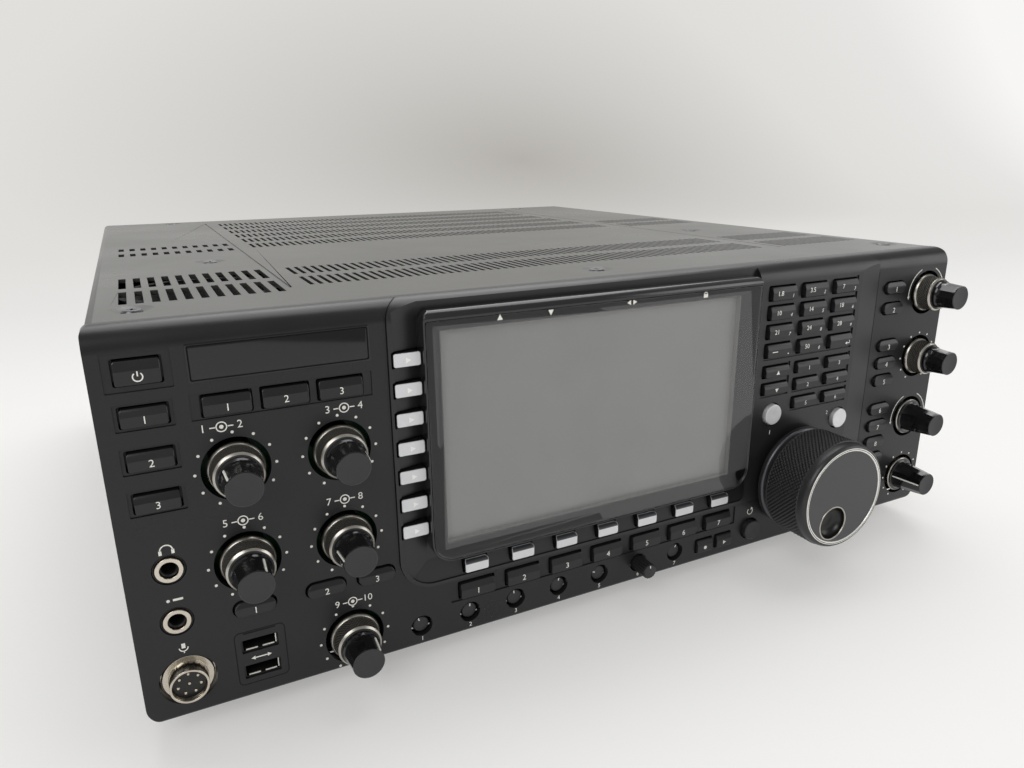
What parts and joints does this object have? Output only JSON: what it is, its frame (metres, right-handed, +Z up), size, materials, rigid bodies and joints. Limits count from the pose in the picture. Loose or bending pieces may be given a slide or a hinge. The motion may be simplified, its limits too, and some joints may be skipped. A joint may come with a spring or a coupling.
{
  "type": "hf transceiver",
  "caption": "Desktop HF radio transceiver: sheet metal case with vented top, cast front panel with display, key fields, concentric knobs, large tuning dial and sockets.",
  "frame": {"origin": "middle of the bounding box at table level, under the feet", "axes": "the front panel faces -Y, +X is to the right as seen from the front, +Z is up"},
  "size_m": [0.425, 0.4864, 0.162],
  "materials": {
    "panel_paint": "fine satin charcoal paint on a die-cast panel",
    "bezel_plastic": "moulded dark grey, semi gloss",
    "window_acrylic": "clear flat acrylic",
    "lcd_film": "grey screen, switched off",
    "cover_paint": "satin dark grey paint on bent sheet",
    "plated_sheet": "plain sheet and extrusion",
    "foot_rubber": "matte black rubber",
    "screw_nickel": "nickel plated",
    "board_laminate": "green solder mask",
    "black_plastic": "moulded black",
    "socket_nickel": "nickel plated brass",
    "dial_rubber": "ribbed dark grip",
    "dial_plate_metal": "satin dark plate with bright edge",
    "knob_ring_metal": "knurled dark anodised ring with bright turned edges",
    "knob_plastic": "moulded black with matte front",
    "key_plastic": "moulded charcoal key caps",
    "silver_key_plastic": "silver coated key caps"
  },
  "bodies": {
    "case": {"front_panel": "panel_paint", "display_fascia": "panel_paint", "display_bezel": "bezel_plastic", "display_window": "window_acrylic", "lcd_panel": "lcd_film", "top_cover": "cover_paint", "bottom_cover": "cover_paint", "chassis": "plated_sheet", "rear_panel": "plated_sheet", "feet": "foot_rubber", "cover_screws": "screw_nickel", "circuit_boards": "board_laminate", "panel_controls": "black_plastic", "phone_jacks": "socket_nickel", "mic_socket": "socket_nickel", "usb_ports": "socket_nickel", "internal_modules": "plated_sheet", "heat_sink": "plated_sheet", "fan_frame": "black_plastic", "rear_sockets": "socket_nickel", "mains_inlet": "black_plastic", "speaker": "black_plastic"},
    "fan": {"fan_rotor": "black_plastic"},
    "dial": {"main_dial": "dial_rubber", "dial_plate": "dial_plate_metal"},
    "mic_ring": {"mic_ring_knob": "knob_ring_metal"},
    "mic_tip": {"mic_tip_knob": "knob_plastic"},
    "speed_ring": {"speed_ring_knob": "knob_ring_metal"},
    "speed_tip": {"speed_tip_knob": "knob_plastic"},
    "agc_ring": {"agc_ring_knob": "knob_ring_metal"},
    "agc_tip": {"agc_tip_knob": "knob_plastic"},
    "noise_ring": {"noise_ring_knob": "knob_ring_metal"},
    "noise_tip": {"noise_tip_knob": "knob_plastic"},
    "volume_ring": {"volume_ring_knob": "knob_ring_metal"},
    "volume_tip": {"volume_tip_knob": "knob_plastic"},
    "filter_ring": {"filter_ring_knob": "knob_ring_metal"},
    "filter_tip": {"filter_tip_knob": "knob_plastic"},
    "notch_ring": {"notch_ring_knob": "knob_ring_metal"},
    "notch_tip": {"notch_tip_knob": "knob_plastic"},
    "offset": {"offset_knob": "knob_plastic"},
    "pitch": {"pitch_knob": "knob_plastic"},
    "trim_1": {"trim_knob_1": "knob_plastic"},
    "trim_2": {"trim_knob_2": "knob_plastic"},
    "trim_3": {"trim_knob_3": "knob_plastic"},
    "trim_4": {"trim_knob_4": "knob_plastic"},
    "trim_5": {"trim_knob_5": "knob_plastic"},
    "trim_6": {"trim_knob_6": "knob_plastic"},
    "trim_7": {"trim_knob_7": "knob_plastic"},
    "power_group": {"power_button": "key_plastic"},
    "side_key_group": {"side_keys": "key_plastic"},
    "vox_key_group": {"vox_keys": "key_plastic"},
    "left_oval_key_group": {"left_oval_keys": "key_plastic"},
    "right_oval_key_group": {"right_oval_keys": "key_plastic"},
    "mode_key_group": {"mode_keys": "key_plastic"},
    "voice_key_group": {"voice_keys": "key_plastic"},
    "soft_key_group": {"soft_keys": "silver_key_plastic"},
    "function_key_group": {"function_keys": "silver_key_plastic"},
    "band_key_group": {"band_keys": "key_plastic"},
    "memory_key_group": {"memory_keys": "key_plastic"},
    "round_button_group": {"round_buttons": "silver_key_plastic"}
  },
  "joints": [
    {"name": "fan_spin", "type": "hinge", "parent": "case", "child": "fan", "pos_m": [-0.08, 0.21425, 0.105], "axis": [0, 1, 0], "continuous": true},
    {"name": "dial_turn", "type": "hinge", "parent": "case", "child": "dial", "pos_m": [0.107, -0.20775, 0.0485], "axis": [0, 1, 0], "continuous": true},
    {"name": "mic_ring_turn", "type": "hinge", "parent": "case", "child": "mic_ring", "pos_m": [-0.1707, -0.20775, 0.1067], "axis": [0, 1, 0], "range_deg": [-150, 150]},
    {"name": "mic_tip_turn", "type": "hinge", "parent": "case", "child": "mic_tip", "pos_m": [-0.1707, -0.20775, 0.1067], "axis": [0, 1, 0], "range_deg": [-100, 200]},
    {"name": "speed_ring_turn", "type": "hinge", "parent": "case", "child": "speed_ring", "pos_m": [-0.1333, -0.20775, 0.1067], "axis": [0, 1, 0], "range_deg": [-150, 150]},
    {"name": "speed_tip_turn", "type": "hinge", "parent": "case", "child": "speed_tip", "pos_m": [-0.1333, -0.20775, 0.1067], "axis": [0, 1, 0], "range_deg": [-222, 78]},
    {"name": "agc_ring_turn", "type": "hinge", "parent": "case", "child": "agc_ring", "pos_m": [-0.1707, -0.20775, 0.0693], "axis": [0, 1, 0], "range_deg": [-150, 150]},
    {"name": "agc_tip_turn", "type": "hinge", "parent": "case", "child": "agc_tip", "pos_m": [-0.1707, -0.20775, 0.0693], "axis": [0, 1, 0], "range_deg": [-187, 113]},
    {"name": "noise_ring_turn", "type": "hinge", "parent": "case", "child": "noise_ring", "pos_m": [-0.1333, -0.20775, 0.0693], "axis": [0, 1, 0], "range_deg": [-150, 150]},
    {"name": "noise_tip_turn", "type": "hinge", "parent": "case", "child": "noise_tip", "pos_m": [-0.1333, -0.20775, 0.0693], "axis": [0, 1, 0], "range_deg": [-75, 225]},
    {"name": "volume_ring_turn", "type": "hinge", "parent": "case", "child": "volume_ring", "pos_m": [-0.1333, -0.20775, 0.0246], "axis": [0, 1, 0], "range_deg": [-150, 150]},
    {"name": "volume_tip_turn", "type": "hinge", "parent": "case", "child": "volume_tip", "pos_m": [-0.1333, -0.20775, 0.0246], "axis": [0, 1, 0], "range_deg": [-200, 100]},
    {"name": "filter_ring_turn", "type": "hinge", "parent": "case", "child": "filter_ring", "pos_m": [0.1975, -0.20775, 0.1382], "axis": [0, 1, 0], "continuous": true},
    {"name": "filter_tip_turn", "type": "hinge", "parent": "case", "child": "filter_tip", "pos_m": [0.1975, -0.20775, 0.1382], "axis": [0, 1, 0], "continuous": true},
    {"name": "notch_ring_turn", "type": "hinge", "parent": "case", "child": "notch_ring", "pos_m": [0.1975, -0.20775, 0.1018], "axis": [0, 1, 0], "range_deg": [-150, 150]},
    {"name": "notch_tip_turn", "type": "hinge", "parent": "case", "child": "notch_tip", "pos_m": [0.1975, -0.20775, 0.1018], "axis": [0, 1, 0], "range_deg": [-230, 70]},
    {"name": "offset_turn", "type": "hinge", "parent": "case", "child": "offset", "pos_m": [0.1975, -0.20775, 0.0654], "axis": [0, 1, 0], "continuous": true},
    {"name": "pitch_turn", "type": "hinge", "parent": "case", "child": "pitch", "pos_m": [0.1975, -0.20775, 0.029], "axis": [0, 1, 0], "range_deg": [-65, 235]},
    {"name": "trim_1_turn", "type": "hinge", "parent": "case", "child": "trim_1", "pos_m": [-0.1044, -0.20775, 0.0201], "axis": [0, 1, 0], "range_deg": [-140, 140]},
    {"name": "trim_2_turn", "type": "hinge", "parent": "case", "child": "trim_2", "pos_m": [-0.0818, -0.20775, 0.0201], "axis": [0, 1, 0], "range_deg": [-140, 140]},
    {"name": "trim_3_turn", "type": "hinge", "parent": "case", "child": "trim_3", "pos_m": [-0.0592, -0.20775, 0.0201], "axis": [0, 1, 0], "range_deg": [-140, 140]},
    {"name": "trim_4_turn", "type": "hinge", "parent": "case", "child": "trim_4", "pos_m": [-0.0366, -0.20775, 0.0201], "axis": [0, 1, 0], "range_deg": [-140, 140]},
    {"name": "trim_5_turn", "type": "hinge", "parent": "case", "child": "trim_5", "pos_m": [-0.014, -0.20775, 0.0201], "axis": [0, 1, 0], "range_deg": [-140, 140]},
    {"name": "trim_6_turn", "type": "hinge", "parent": "case", "child": "trim_6", "pos_m": [0.0086, -0.20775, 0.0201], "axis": [0, 1, 0], "range_deg": [-140, 140]},
    {"name": "trim_7_turn", "type": "hinge", "parent": "case", "child": "trim_7", "pos_m": [0.0312, -0.20775, 0.0201], "axis": [0, 1, 0], "range_deg": [-140, 140]},
    {"name": "power_press", "type": "slide", "parent": "case", "child": "power_group", "axis": [0, 1, 0], "range_m": [0, 0.0012], "stiffness_N_per_m": 1500},
    {"name": "side_key_press", "type": "slide", "parent": "case", "child": "side_key_group", "axis": [0, 1, 0], "range_m": [0, 0.0012], "stiffness_N_per_m": 1500},
    {"name": "vox_key_press", "type": "slide", "parent": "case", "child": "vox_key_group", "axis": [0, 1, 0], "range_m": [0, 0.0012], "stiffness_N_per_m": 1500},
    {"name": "left_oval_key_press", "type": "slide", "parent": "case", "child": "left_oval_key_group", "axis": [0, 1, 0], "range_m": [0, 0.0012], "stiffness_N_per_m": 1500},
    {"name": "right_oval_key_press", "type": "slide", "parent": "case", "child": "right_oval_key_group", "axis": [0, 1, 0], "range_m": [0, 0.0012], "stiffness_N_per_m": 1500},
    {"name": "mode_key_press", "type": "slide", "parent": "case", "child": "mode_key_group", "axis": [0, 1, 0], "range_m": [0, 0.0012], "stiffness_N_per_m": 1500},
    {"name": "voice_key_press", "type": "slide", "parent": "case", "child": "voice_key_group", "axis": [0, 1, 0], "range_m": [0, 0.0012], "stiffness_N_per_m": 1500},
    {"name": "soft_key_press", "type": "slide", "parent": "case", "child": "soft_key_group", "axis": [0, 1, 0], "range_m": [0, 0.0012], "stiffness_N_per_m": 1500},
    {"name": "function_key_press", "type": "slide", "parent": "case", "child": "function_key_group", "axis": [0, 1, 0], "range_m": [0, 0.0012], "stiffness_N_per_m": 1500},
    {"name": "band_key_press", "type": "slide", "parent": "case", "child": "band_key_group", "axis": [0, 1, 0], "range_m": [0, 0.0012], "stiffness_N_per_m": 1500},
    {"name": "memory_key_press", "type": "slide", "parent": "case", "child": "memory_key_group", "axis": [0, 1, 0], "range_m": [0, 0.0012], "stiffness_N_per_m": 1500},
    {"name": "round_button_press", "type": "slide", "parent": "case", "child": "round_button_group", "axis": [0, 1, 0], "range_m": [0, 0.0012], "stiffness_N_per_m": 1500}
  ]
}
